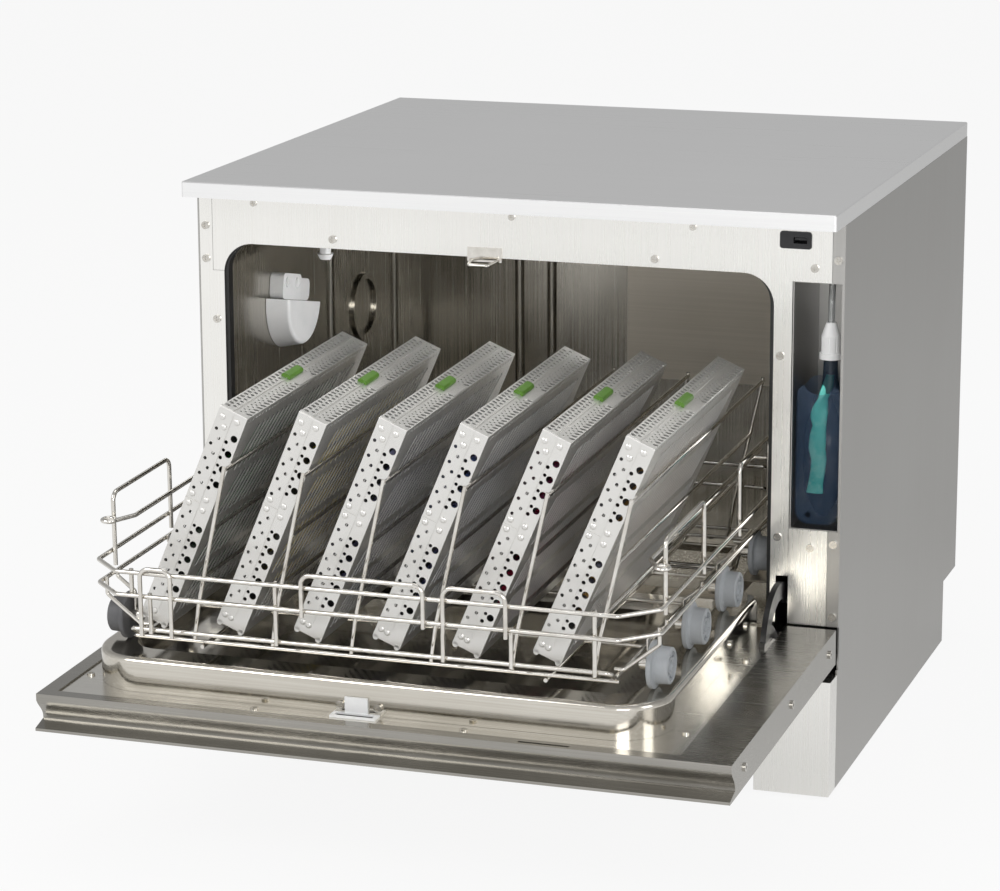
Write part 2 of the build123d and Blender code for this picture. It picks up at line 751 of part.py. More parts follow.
def basket_stems():
    # bent wires from the middle rail down to the base and to the wheel pins
    stems = []
    for side in (-1, 1):
        rail = load_x + side * (rail_half - thin_weld)
        edge = load_x + side * base_half
        over = base_z + thin_weld
        for y in (-262, 110):
            line = [(rail, y, rail_mid_z + 3), (rail, y, 222)]
            line += [(edge + side * 4, y, over), (edge - side * 4, y, over)]
            stems.append(bent_wire(line, thin_wire, 3))
        knob = load_x + side * (wheel_in - 3.2)
        for y in wheel_rows[:3]:
            line = [(rail, y, rail_mid_z + 3), (rail, y, 231.5), (knob, y, 219.5), (knob, y, wheel_z)]
            stem = bent_wire(line, thin_wire, 3)
            inner = load_x + side * (wheel_in - 9.5)
            boss = load_x + side * (wheel_in - 0.4)
            outer = load_x + side * (wheel_in + axle_reach)
            stem += rod_x(min(inner, outer), max(inner, outer), y, wheel_z, axle_r)
            stem += rod_x(min(inner, boss), max(inner, boss), y, wheel_z, 5.5)
            stems.append(stem)
    return stems


def divider(index):
    # two bent uprights that lean with the cassettes, joined by three long rods
    x = divider_first_x + index * divider_pitch
    shape = [(0, divider_top_z), (-8.2, 290), (-18.3, 248), (-27, 224), (-31.5, 205)]
    top, mid, low, bend, foot = [(x + dx, z) for dx, z in shape]
    foot_z = cradle_z + thin_wire + 0.35
    body = None
    for y in (divider_front, divider_rear):
        line = [(foot[0], y, foot_z), (bend[0], y, bend[1]), (top[0], y, top[1] + 2.6)]
        upright = bent_wire(line, thin_wire, 10)
        body = upright if body is None else body + upright
    for px, pz in (top, mid, low):
        t = (pz - bend[1]) / (top[1] - bend[1])
        rod = bend[0] + (top[0] - bend[0]) * t
        body += rod_y(rod, divider_front, divider_rear, pz, thin_wire)
    return body


def basket_rack():
    return wires([divider(index) for index in range(cas_count)])


def rear_axle():
    reach = wheel_in + axle_reach
    y = wheel_rows[3]
    crank = [(-reach, wheel_z), (-wheel_in + 13, wheel_z), (-wheel_in + 18, 180.6), (wheel_in - 18, 180.6),
             (wheel_in - 13, wheel_z), (reach, wheel_z)]
    bar = bent_wire([(load_x + x, y, z) for x, z in crank], axle_r, 4)
    for side in (-1, 1):
        x0 = load_x + side * (wheel_in - 9.5)
        x1 = load_x + side * (wheel_in - 0.4)
        bar += rod_x(min(x0, x1), max(x0, x1), y, wheel_z, 5.5)
    return at_open(bar)


def wheel(side, y):
    profile = make_face(Polyline(
        (axle_r + running, 0), (wheel_flange_r - 0.8, 0), (wheel_flange_r, 0.8), (wheel_flange_r, 4),
        (tread_r + 1, 5), (tread_r, 6.5), (tread_r - 0.4, 16.2), (tread_r - 1.4, 17), (tread_r - 3.4, 17),
        (tread_r - 3.8, 14), (7.2, 14), (6.8, 16), (5, 16), (4.6, 13), (axle_r + running, 13), close=True))
    body = revolve(Plane.XY * profile, Axis.Y)
    body = body + Pos(0, 12.8, 0) * (Rot(90, 0, 0) * Cylinder(4.6, 0.8))
    turned = body.rotate(Axis.Z, -90 if side > 0 else 90)
    inner = load_x + side * wheel_in
    return at_open(Pos(inner, y, wheel_z) * turned)


# Cassettes
def cassette_blank():
    box = slab(0, cas_t, 0, cas_l, 0, cas_h)
    box -= slab(cas_wall, cas_t - cas_wall, cas_wall, cas_l - cas_wall, cas_wall, cas_h - cas_wall)
    slots = Sketch()
    for row in range(2):
        for step in range(9):
            centre = (34 + step * 26.4, 56 + row * 92)
            slots += Pos(*centre) * (Rot(0, 0, 58) * Rectangle(74, 5))
    cutter = extrude(Plane((-5, 0, 0), x_dir=(0, 1, 0), z_dir=(1, 0, 0)) * slots, cas_t + 10)
    box -= cutter
    for step in range(9):
        box -= slab(cas_t - 9, cas_t - 5.5, 22 + step * 27, 34 + step * 27, cas_h - 3, cas_h + 3)
    for step in range(7):
        z = 30 + step * 22 + (10 if step > 3 else 0)
        box -= rod_y(cas_t - 6, -2, 3, z, 3.2)
    rim = slab(-0.6, 0, 0, cas_l, cas_h - 4, cas_h) + slab(-0.6, 0, 0, cas_l, 0, 4)
    seam = slab(cas_t * 0.5 - 0.3, cas_t * 0.5 + 0.3, -0.5, 0, 6, cas_h - 3)
    return box + rim + seam


def cassette_place(index):
    x = divider_first_x + index * divider_pitch - cas_back_off
    return Pos(x, cas_front, cas_z) * Rot(0, cas_lean, 0)


def cassette_latch():
    low = cas_h + 0.05
    tab = slab(cas_t - 19.5, cas_t - 11, 118, 148, low, low + 3.6)
    tab = chamfer(tab.edges().filter_by(Axis.Y).group_by(Axis.Z)[-1], 1.6)
    return tab


front_edge = door_shell().bounding_box().min.Y
middle_y = (front_edge + cab_d + drain_reach) / 2

save(top_cover(), "top_cover")
save(side_panel(-1), "side_panel_left")
save(side_panel(1), "side_panel_right")
save(back_panel(), "back_panel")
save(base_tray(), "base_tray")
save(feet(), "levelling_feet")
save(front_frame(), "front_frame")
save(Compound(children=[left_post(), lower_front_plate()]), "front_plates")
save(kick_cover(), "kick_cover")
save(plinth_front(), "plinth_front")
save(tub(), "wash_tub")
save(back_plate(), "tub_back_plate")
save(door_gasket(), "door_gasket")
save(Compound(children=[track(-1), track(1)]), "basket_tracks")
save(striker(), "latch_striker")
save(usb_port(), "usb_port")
save(duct_cover(), "duct_cover")
save(ceiling_nozzle(), "ceiling_nozzle")
save(sump_filter(), "sump_filter")
save(spray_arm(), "spray_arm")
save(bay_liner(), "bay_liner")
save(bag_holder(), "bag_holder")
save(detergent_bag(), "detergent_bag")
save(bag_cap(), "bag_cap")
save(suction_tube(), "suction_tube")
save(Compound(children=[*water_inlets(), drain_outlet()]), "water_connections")
save(power_inlet(), "power_inlet")
save(cabinet_screws(), "cabinet_screws")
save(Compound(children=[hinge_bracket(hinge_left_x, -1), hinge_bracket(hinge_right_x, 1)]), "hinge_brackets")
save(door_shell(), "door_shell")
save(door_panel(), "door_panel")
save(door_pan(), "door_pan")
save(latch_plate(), "latch_plate")
save(Compound(children=[door_arm(hinge_left_x), door_arm(hinge_right_x)]), "door_arms")
save(door_screws(), "door_screws")
save(basket_rails(), "basket_rails")
save(basket_handles(), "basket_handles")
save(basket_base(), "basket_base")
save(basket_rack(), "basket_rack")
save(rear_axle(), "rear_axle")
for row, y in enumerate(wheel_rows):
    save(wheel(-1, y), "wheel_left_" + str(row + 1))
    save(wheel(1, y), "wheel_right_" + str(row + 1))
blank = cassette_blank()
latch = cassette_latch()
for index in range(cas_count):
    place = cassette_place(index)
    save(at_open(place * blank), "cassette_" + str(index + 1))
    save(at_open(place * latch), "cassette_latch_" + str(index + 1))
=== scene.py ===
import bmesh
import bpy
import math
import random
from mathutils import Matrix, Vector
from mathutils.geometry import delaunay_2d_cdt


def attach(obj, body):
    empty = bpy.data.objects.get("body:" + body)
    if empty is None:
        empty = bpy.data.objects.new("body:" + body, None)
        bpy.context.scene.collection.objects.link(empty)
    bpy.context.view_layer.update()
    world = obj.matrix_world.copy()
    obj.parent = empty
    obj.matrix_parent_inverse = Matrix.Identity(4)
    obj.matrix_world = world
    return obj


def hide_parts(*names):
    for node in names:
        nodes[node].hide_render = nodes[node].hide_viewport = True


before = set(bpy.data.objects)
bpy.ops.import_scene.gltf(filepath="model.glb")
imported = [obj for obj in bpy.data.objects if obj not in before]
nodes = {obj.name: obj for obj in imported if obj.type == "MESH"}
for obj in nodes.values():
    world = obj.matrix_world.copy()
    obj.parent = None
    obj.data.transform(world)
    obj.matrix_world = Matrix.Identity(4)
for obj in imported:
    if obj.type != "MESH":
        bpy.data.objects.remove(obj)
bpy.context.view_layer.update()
scene = bpy.context.scene
scene.view_settings.view_transform = "Standard"
print("frame loaded:", len(nodes), "nodes")


# Node groups that several finishes share

def groupShell(name, inputs, outputs):
    tree = bpy.data.node_groups.new(name, "ShaderNodeTree")
    for label, kind, value in inputs:
        socket = tree.interface.new_socket(label, in_out="INPUT", socket_type=kind)
        socket.default_value = value
    for label, kind in outputs:
        tree.interface.new_socket(label, in_out="OUTPUT", socket_type=kind)
    return tree, tree.nodes.new("NodeGroupInput"), tree.nodes.new("NodeGroupOutput")


def mapRange(tree, value, low, high, toLow, toHigh):
    node = tree.nodes.new("ShaderNodeMapRange")
    tree.links.new(value, node.inputs["Value"])
    for label, number in (("From Min", low), ("From Max", high), ("To Min", toLow), ("To Max", toHigh)):
        if isinstance(number, (int, float)):
            node.inputs[label].default_value = number
        else:
            tree.links.new(number, node.inputs[label])
    return node.outputs["Result"]


def mathNode(tree, operation, first, second=None):
    node = tree.nodes.new("ShaderNodeMath")
    node.operation = operation
    for slot, value in enumerate((first, second)):
        if value is None:
            continue
        if isinstance(value, (int, float)):
            node.inputs[slot].default_value = value
        else:
            tree.links.new(value, node.inputs[slot])
    return node.outputs[0]


def mixColour(tree, factor, first, second):
    node = tree.nodes.new("ShaderNodeMix")
    node.data_type = "RGBA"
    tree.links.new(factor, node.inputs["Factor"])
    tree.links.new(first, node.inputs["A"])
    tree.links.new(second, node.inputs["B"])
    return node.outputs["Result"]


def buildGrainGroup():
    # long fine streaks of brushed sheet, with soft cloudy patches over them
    tree, source, sink = groupShell(
        "brushedGrain",
        [("Stretch", "NodeSocketVector", (400, 4, 400)), ("Cloud Scale", "NodeSocketFloat", 6),
         ("Light", "NodeSocketColor", (0.7, 0.7, 0.7, 1)), ("Dark", "NodeSocketColor", (0.6, 0.6, 0.6, 1)),
         ("Roughness", "NodeSocketFloat", 0.3), ("Roughness Spread", "NodeSocketFloat", 0.1)],
        [("Colour", "NodeSocketColor"), ("Roughness", "NodeSocketFloat"), ("Height", "NodeSocketFloat")])
    place = tree.nodes.new("ShaderNodeTexCoord")
    stretch = tree.nodes.new("ShaderNodeVectorMath")
    stretch.operation = "MULTIPLY"
    tree.links.new(place.outputs["Object"], stretch.inputs[0])
    tree.links.new(source.outputs["Stretch"], stretch.inputs[1])
    streak = tree.nodes.new("ShaderNodeTexNoise")
    streak.inputs["Scale"].default_value = 1
    streak.inputs["Detail"].default_value = 3
    tree.links.new(stretch.outputs[0], streak.inputs["Vector"])
    cloud = tree.nodes.new("ShaderNodeTexNoise")
    cloud.inputs["Detail"].default_value = 4
    tree.links.new(place.outputs["Object"], cloud.inputs["Vector"])
    tree.links.new(source.outputs["Cloud Scale"], cloud.inputs["Scale"])
    both = mathNode(tree, "ADD", mathNode(tree, "MULTIPLY", streak.outputs["Fac"], 0.55),
                    mathNode(tree, "MULTIPLY", cloud.outputs["Fac"], 0.45))
    mask = mapRange(tree, both, 0.32, 0.68, 0, 1)
    colour = mixColour(tree, mask, source.outputs["Dark"], source.outputs["Light"])
    tree.links.new(colour, sink.inputs["Colour"])
    centred = mathNode(tree, "SUBTRACT", both, 0.5)
    shift = mathNode(tree, "MULTIPLY", centred, source.outputs["Roughness Spread"])
    rough = mathNode(tree, "ADD", source.outputs["Roughness"], mathNode(tree, "MULTIPLY", shift, 4))
    tree.links.new(rough, sink.inputs["Roughness"])
    tree.links.new(streak.outputs["Fac"], sink.inputs["Height"])
    return tree


def buildSpeckGroup():
    # fine even texture of moulded plastic and rubber, with faint handling marks
    tree, source, sink = groupShell(
        "mouldedSurface",
        [("Scale", "NodeSocketFloat", 900), ("Mark Scale", "NodeSocketFloat", 30),
         ("Base", "NodeSocketColor", (0.5, 0.5, 0.5, 1)),
         ("Worn", "NodeSocketColor", (0.55, 0.55, 0.55, 1)), ("Roughness", "NodeSocketFloat", 0.5)],
        [("Colour", "NodeSocketColor"), ("Roughness", "NodeSocketFloat"), ("Height", "NodeSocketFloat")])
    place = tree.nodes.new("ShaderNodeTexCoord")
    fine = tree.nodes.new("ShaderNodeTexNoise")
    fine.inputs["Detail"].default_value = 2
    marks = tree.nodes.new("ShaderNodeTexNoise")
    marks.inputs["Detail"].default_value = 6
    marks.inputs["Roughness"].default_value = 0.7
    for node, label in ((fine, "Scale"), (marks, "Mark Scale")):
        tree.links.new(place.outputs["Object"], node.inputs["Vector"])
        tree.links.new(source.outputs[label], node.inputs["Scale"])
    mask = mapRange(tree, marks.outputs["Fac"], 0.45, 0.75, 0, 1)
    colour = mixColour(tree, mask, source.outputs["Base"], source.outputs["Worn"])
    tree.links.new(colour, sink.inputs["Colour"])
    rough = mathNode(tree, "ADD", source.outputs["Roughness"], mathNode(tree, "MULTIPLY", mask, 0.12))
    tree.links.new(rough, sink.inputs["Roughness"])
    tree.links.new(fine.outputs["Fac"], sink.inputs["Height"])
    return tree


grainGroup = buildGrainGroup()
speckGroup = buildSpeckGroup()
print("shader groups ready")


# Finishes

surfaceLook = {"grain": 0.0004, "speck": 0.0003, "plasticIor": 1.48}


def rgba(colour):
    return (colour[0], colour[1], colour[2], 1)


def addBump(tree, shader, height, strength, distance):
    bump = tree.nodes.new("ShaderNodeBump")
    bump.inputs["Strength"].default_value = strength
    bump.inputs["Distance"].default_value = distance
    tree.links.new(height, bump.inputs["Height"])
    tree.links.new(bump.outputs["Normal"], shader.inputs["Normal"])


def steelFinish(name, look):
    material = bpy.data.materials.new(name)
    material.use_nodes = True
    tree = material.node_tree
    shader = tree.nodes["Principled BSDF"]
    shader.inputs["Metallic"].default_value = look.get("metal", 1)
    grain = tree.nodes.new("ShaderNodeGroup")
    grain.node_tree = grainGroup
    grain.inputs["Stretch"].default_value = look["stretch"]
    grain.inputs["Cloud Scale"].default_value = look.get("cloud", 6)
    grain.inputs["Light"].default_value = rgba(look["light"])
    grain.inputs["Dark"].default_value = rgba(look["dark"])
    grain.inputs["Roughness"].default_value = look["rough"]
    grain.inputs["Roughness Spread"].default_value = look.get("spread", 0.1)
    tree.links.new(grain.outputs["Colour"], shader.inputs["Base Color"])
    tree.links.new(grain.outputs["Roughness"], shader.inputs["Roughness"])
    addBump(tree, shader, grain.outputs["Height"], look.get("bump", 0.05), surfaceLook["grain"])
    return material


def mouldedFinish(name, look):
    material = bpy.data.materials.new(name)
    material.use_nodes = True
    tree = material.node_tree
    shader = tree.nodes["Principled BSDF"]
    shader.inputs["Metallic"].default_value = 0
    shader.inputs["IOR"].default_value = surfaceLook["plasticIor"]
    shader.inputs["Transmission Weight"].default_value = look.get("clear", 0)
    shader.inputs["Alpha"].default_value = look.get("alpha", 1)
    speck = tree.nodes.new("ShaderNodeGroup")
    speck.node_tree = speckGroup
    speck.inputs["Scale"].default_value = look.get("scale", 900)
    speck.inputs["Mark Scale"].default_value = look.get("marks", 30)
    speck.inputs["Base"].default_value = rgba(look["base"])
    speck.inputs["Worn"].default_value = rgba(look["worn"])
    speck.inputs["Roughness"].default_value = look["rough"]
    tree.links.new(speck.outputs["Colour"], shader.inputs["Base Color"])
    tree.links.new(speck.outputs["Roughness"], shader.inputs["Roughness"])
    addBump(tree, shader, speck.outputs["Height"], look.get("bump", 0.1), surfaceLook["speck"])
    return material


steelLooks = {
    "lidSteel": {"stretch": (3, 900, 900), "light": (0.93, 0.93, 0.93), "dark": (0.88, 0.88, 0.88),
                 "rough": 0.30, "spread": 0.05, "bump": 0.006, "cloud": 2},
    "caseSteel": {"stretch": (900, 900, 3), "light": (0.47, 0.46, 0.445), "dark": (0.43, 0.425, 0.41),
                  "rough": 0.36, "spread": 0.08, "bump": 0.02, "cloud": 4},
    "fasciaSteel": {"stretch": (900, 900, 5), "light": (0.90, 0.89, 0.86), "dark": (0.86, 0.85, 0.815),
                    "rough": 0.28, "spread": 0.05, "bump": 0.002, "cloud": 14},
    "doorSteel": {"stretch": (4, 900, 900), "light": (0.80, 0.78, 0.73), "dark": (0.66, 0.64, 0.59),
                  "rough": 0.20, "spread": 0.14, "bump": 0.03, "cloud": 14},
    "doorShellSteel": {"stretch": (4, 900, 900), "light": (0.40, 0.385, 0.355),
                       "dark": (0.30, 0.29, 0.265), "rough": 0.24, "spread": 0.12, "bump": 0.02,
                       "cloud": 10},
    "panSteel": {"stretch": (6, 500, 500), "light": (0.66, 0.63, 0.57), "dark": (0.54, 0.51, 0.45),
                 "rough": 0.12, "spread": 0.08, "bump": 0.02, "cloud": 12},
    "chamberSteel": {"stretch": (700, 700, 5), "light": (0.66, 0.63, 0.57), "dark": (0.44, 0.42, 0.37),
                     "rough": 0.22, "spread": 0.12, "bump": 0.04, "cloud": 7},
    "plateSteel": {"stretch": (5, 600, 600), "light": (0.70, 0.65, 0.57), "dark": (0.60, 0.56, 0.48),
                   "rough": 0.36, "spread": 0.10, "bump": 0.05, "cloud": 8},
    "wireSteel": {"stretch": (90, 90, 90), "light": (0.78, 0.76, 0.72), "dark": (0.60, 0.57, 0.52),
                  "rough": 0.10, "spread": 0.06, "bump": 0.02, "cloud": 40},
    "screwSteel": {"stretch": (300, 300, 300), "light": (0.68, 0.66, 0.62), "dark": (0.48, 0.46, 0.42),
                   "rough": 0.20, "spread": 0.10, "bump": 0.04, "cloud": 60},
    "cassetteSteel": {"stretch": (250, 250, 250), "light": (0.80, 0.79, 0.77), "dark": (0.68, 0.67, 0.64),
                      "rough": 0.30, "spread": 0.08, "bump": 0.03, "cloud": 22, "metal": 0.7},
    "brassFitting": {"stretch": (400, 6, 400), "light": (0.76, 0.60, 0.32), "dark": (0.60, 0.45, 0.22),
                     "rough": 0.28, "spread": 0.10, "bump": 0.05, "cloud": 30},
}
mouldedLooks = {
    "blackPlastic": {"base": (0.015, 0.015, 0.017), "worn": (0.03, 0.03, 0.033), "rough": 0.35},
    "blackArm": {"base": (0.012, 0.012, 0.013), "worn": (0.05, 0.05, 0.05), "rough": 0.3, "marks": 60},
    "sealRubber": {"base": (0.012, 0.012, 0.012), "worn": (0.025, 0.025, 0.025), "rough": 0.5,
                   "bump": 0.2},
    "trayRubber": {"base": (0.02, 0.02, 0.021), "worn": (0.05, 0.05, 0.05), "rough": 0.6, "bump": 0.2},
    "footRubber": {"base": (0.02, 0.02, 0.02), "worn": (0.05, 0.05, 0.05), "rough": 0.7, "bump": 0.3},
    "whitePlastic": {"base": (0.92, 0.92, 0.92), "worn": (0.84, 0.85, 0.85), "rough": 0.35, "bump": 0.05},
    "greyWheel": {"base": (0.42, 0.44, 0.46), "worn": (0.36, 0.38, 0.40), "rough": 0.5, "bump": 0.1},
    # darkWheel is painted shade: the grey wheel's plastic darkened as if the wheel stood in the tub's
    # shadow
    "darkWheel": {"base": (0.10, 0.10, 0.105), "worn": (0.15, 0.15, 0.155), "rough": 0.5, "bump": 0.1},
    "greenLatch": {"base": (0.09, 0.22, 0.02), "worn": (0.14, 0.30, 0.05), "rough": 0.32, "marks": 120,
                   "bump": 0.05},
    "clearTube": {"base": (0.86, 0.88, 0.88), "worn": (0.78, 0.80, 0.80), "rough": 0.08, "clear": 0.8,
                  "bump": 0.02},
    "clearHolder": {"base": (0.06, 0.11, 0.20), "worn": (0.12, 0.18, 0.28), "rough": 0.06, "alpha": 0.2,
                    "bump": 0.02},
    "tealBag": {"base": (0.08, 0.66, 0.57), "worn": (0.34, 0.90, 0.80), "rough": 0.25, "marks": 45,
                "bump": 0.15},
    "bagFilm": {"base": (0.012, 0.025, 0.045), "worn": (0.03, 0.05, 0.08), "rough": 0.12, "alpha": 0.75,
                "marks": 35, "bump": 0.1},
}
finishes = {}
for lookName, look in steelLooks.items():
    finishes[lookName] = steelFinish(lookName, look)
for lookName, look in mouldedLooks.items():
    finishes[lookName] = mouldedFinish(lookName, look)
print("finishes ready:", len(finishes))

nodeFinish = {
    "top_cover": "lidSteel", "side_panel_left": "caseSteel", "side_panel_right": "caseSteel",
    "back_panel": "caseSteel", "base_tray": "caseSteel", "levelling_feet": "footRubber",
    "front_frame": "fasciaSteel", "front_plates": "fasciaSteel", "kick_cover": "fasciaSteel",
    "plinth_front": "caseSteel", "wash_tub": "chamberSteel", "tub_back_plate": "plateSteel",
    "door_gasket": "sealRubber", "basket_tracks": "plateSteel", "latch_striker": "wireSteel",
    "usb_port": "blackPlastic", "duct_cover": "whitePlastic", "ceiling_nozzle": "whitePlastic",
    "sump_filter": "whitePlastic", "spray_arm": "panSteel", "bay_liner": "caseSteel",
    "bag_holder": "clearHolder", "detergent_bag": "bagFilm", "bag_cap": "whitePlastic",
    "suction_tube": "clearTube", "water_connections": "brassFitting", "power_inlet": "blackPlastic",
    "cabinet_screws": "screwSteel", "hinge_brackets": "screwSteel", "door_shell": "doorShellSteel",
    "door_panel": "doorSteel", "door_pan": "panSteel", "latch_plate": "whitePlastic",
    "door_arms": "blackArm", "door_screws": "screwSteel", "basket_rails": "wireSteel",
    "basket_handles": "wireSteel", "basket_base": "wireSteel", "basket_rack": "wireSteel",
    "rear_axle": "wireSteel",
}
# the left wheels take the grey plastic darkened with painted shade, the right wheels keep the plain grey
for number in range(1, 5):
    nodeFinish["wheel_left_" + str(number)] = "darkWheel"
    nodeFinish["wheel_right_" + str(number)] = "greyWheel"
for number in range(1, 7):
    nodeFinish["cassette_" + str(number)] = "cassetteSteel"
    nodeFinish["cassette_latch_" + str(number)] = "greenLatch"
for nodeName, finishName in nodeFinish.items():
    slots = nodes[nodeName].data.materials
    slots.clear()
    slots.append(finishes[finishName])
print("CAD nodes dressed")


# Mesh helpers

def putMesh(name, shape, finishName, body, smooth=False, replaced=()):
    mesh = bpy.data.meshes.new(name)
    shape.to_mesh(mesh)
    shape.free()
    piece = bpy.data.objects.new(name, mesh)
    scene.collection.objects.link(piece)
    mesh.materials.append(finishes[finishName])
    for face in mesh.polygons:
        face.use_smooth = smooth
    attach(piece, body)
    if replaced:
        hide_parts(*replaced)
    return piece


def ring(u, v, radius, count, turn=0.0):
    angles = [turn + math.tau * step / count for step in range(count)]
    return [(u + radius * math.cos(angle), v + radius * math.sin(angle)) for angle in angles]


def slotRing(u, v, half, width, angle):
    # a slim slot with pointed round ends, centred at u, v
    along = (math.cos(angle), math.sin(angle))
    across = (-along[1], along[0])
    outline = [(-half, 0), (-half + width * 0.4, -width / 2), (half - width * 0.4, -width / 2), (half, 0),
               (half - width * 0.4, width / 2), (-half + width * 0.4, width / 2)]
    return [(u + a * along[0] + b * across[0], v + a * along[1] + b * across[1]) for a, b in outline]


def addPerforated(shape, wide, high, holes, place):
    # a flat sheet from 0, 0 to wide, high with real holes, put in space by place(u, v)
    points = [Vector(p) for p in ((0, 0), (wide, 0), (wide, high), (0, high))]
    loops = [[0, 1, 2, 3]]
    for hole in holes:
        start = len(points)
        points.extend(Vector(p) for p in hole)
        loops.append(list(range(start, start + len(hole)))[::-1])
    spots, _, faces = delaunay_2d_cdt(points, [], loops, 2, 0.001)[:3]
    verts = [shape.verts.new(place(spot.x, spot.y)) for spot in spots]
    for face in faces:
        shape.faces.new([verts[index] for index in face])


def addDome(shape, centre, normal, radius, height, segments=10):
    side = normal.orthogonal().normalized()
    up = normal.cross(side)
    rows = []
    for level in range(3):
        spread = radius * math.cos(level * math.pi / 6)
        lift = height * math.sin(level * math.pi / 6) / math.sin(math.pi / 3)
        row = []
        for step in range(segments):
            angle = math.tau * step / segments
            ray = side * math.cos(angle) + up * math.sin(angle)
            row.append(shape.verts.new(centre + normal * lift + ray * spread))
        rows.append(row)
    for low, high in zip(rows, rows[1:]):
        for step in range(segments):
            after = (step + 1) % segments
            shape.faces.new((low[step], low[after], high[after], high[step]))
    shape.faces.new(rows[-1])


def addRod(shape, start, end, radius, segments=12):
    axis = (end - start).normalized()
    side = axis.orthogonal().normalized()
    up = axis.cross(side)
    rows = []
    for centre in (start, end):
        angles = [math.tau * step / segments for step in range(segments)]
        rows.append([shape.verts.new(centre + (side * math.cos(angle) + up * math.sin(angle)) * radius)
                     for angle in angles])
    for step in range(segments):
        after = (step + 1) % segments
        shape.faces.new((rows[0][step], rows[0][after], rows[1][after], rows[1][step]))
    shape.faces.new(rows[0][::-1])
    shape.faces.new(rows[1])


def addBlock(shape, low, high):
    corners = [shape.verts.new((x, y, z)) for x in (low[0], high[0]) for y in (low[1], high[1])
               for z in (low[2], high[2])]
    for quad in ((0, 1, 3, 2), (4, 6, 7, 5), (0, 4, 5, 1), (2, 3, 7, 6), (0, 2, 6, 4), (1, 5, 7, 3)):
        shape.faces.new([corners[index] for index in quad])


# Where the load stands, in millimetres: the basket hangs with the open door
loadPlace = {"hinge": (0, 21.5, 138.5), "sag": 1.4, "originY": -0.13077}
hinge = Vector(loadPlace["hinge"])
sag = math.radians(loadPlace["sag"])
openTurn = Matrix.Translation(hinge) @ Matrix.Rotation(sag, 4, "X") @ Matrix.Translation(-hinge)
toMetres = Matrix.Translation((0, loadPlace["originY"], 0)) @ Matrix.Scale(0.001, 4)

cassetteLook = {
    "thick": 26.0, "long": 279.0, "high": 203.0, "lean": 23.1, "first": -235.0, "pitch": 69.6,
    "front": -252.0, "bottom": 203.6, "sheet": 0.9, "fold": 0.9, "smallHole": 1.75, "largeHole": 3.1,
    "slotPitch": 10.4, "slotHalf": 24, "slotWide": 5.2, "slotLean": 58, "slotRowPitch": 46,
    "lugR": 2.4, "seamR": 1.2, "dimpleR": 2.9, "dimpleHigh": 1.1,
    "trayNear": 11, "trayFar": 13, "trayMargin": 7,
}


def cassetteFrame(index):
    look = cassetteLook
    x = look["first"] + index * look["pitch"]
    place = Matrix.Translation(Vector((x, look["front"], look["bottom"])))
    return toMetres @ openTurn @ place @ Matrix.Rotation(math.radians(look["lean"]), 4, "Y")


def cassetteShell():
    look = cassetteLook
    thick, long, high = look["thick"], look["long"], look["high"]
    small, large = look["smallHole"], look["largeHole"]
    shape = bmesh.new()
    endHoles = []
    for step in range(24):  # two offset columns left of the seam
        v = 20 + step * 7.1
        if not 108 < v < 124:
            endHoles.append(ring(3.9 if step % 2 else 8.9, v, small * 0.9, 8))
    for step in range(11):  # a small and a large column right of the seam
        v = 30 + step * 14.6
        if 100 < v < 122:
            continue
        endHoles.append(ring(15.9, v, small, 8))
        endHoles.append(ring(21.3, v + 5.5, large, 12))
        if step < 10:
            endHoles.append(ring(16.2, v + 7.3, small * 0.9, 8))
    addPerforated(shape, thick, high, endHoles, lambda u, v: (u, 0, v))
    addPerforated(shape, thick, high, endHoles, lambda u, v: (u, long, v))
    topHoles = []
    for step in range(35):
        u = 9 + step * 7.6
        topHoles.append(ring(3.5, u, small * 1.25, 10))
        topHoles.append(ring(8.2, u + 3.8, small * 1.05, 8))
        if not 114 < u < 152:
            topHoles.append(ring(15.8, u, small * 0.65, 6))
            topHoles.append(ring(18.6, u + 3.8, small * 0.7, 6))
        topHoles.append(slotRing(22.9, u + 1.5, 3.2, 3.0, 0.65))
    addPerforated(shape, thick, long, topHoles, lambda u, v: (u, v, high))
    addPerforated(shape, thick, long, [ring(13, 20 + step * 20, 4, 10) for step in range(13)],
                  lambda u, v: (u, v, 0))
    faceHoles = []
    lean = math.radians(look["slotLean"])
    for row in range(4):
        v = 31 + row * look["slotRowPitch"]
        for step in range(24):
            u = 22 + step * look["slotPitch"] + row * 2.1
            if u < 257:
                faceHoles.append(slotRing(u, v, look["slotHalf"], look["slotWide"], lean))
    for step in range(38):
        faceHoles.append(ring(9 + step * 7.05, 199, 1.7, 6))
    addPerforated(shape, long, high, faceHoles, lambda u, v: (0, u, v))
    addPerforated(shape, long, high, faceHoles, lambda u, v: (thick, u, v))
    bmesh.ops.remove_doubles(shape, verts=shape.verts, dist=0.01)
    bmesh.ops.recalc_face_normals(shape, faces=shape.faces)
    return shape


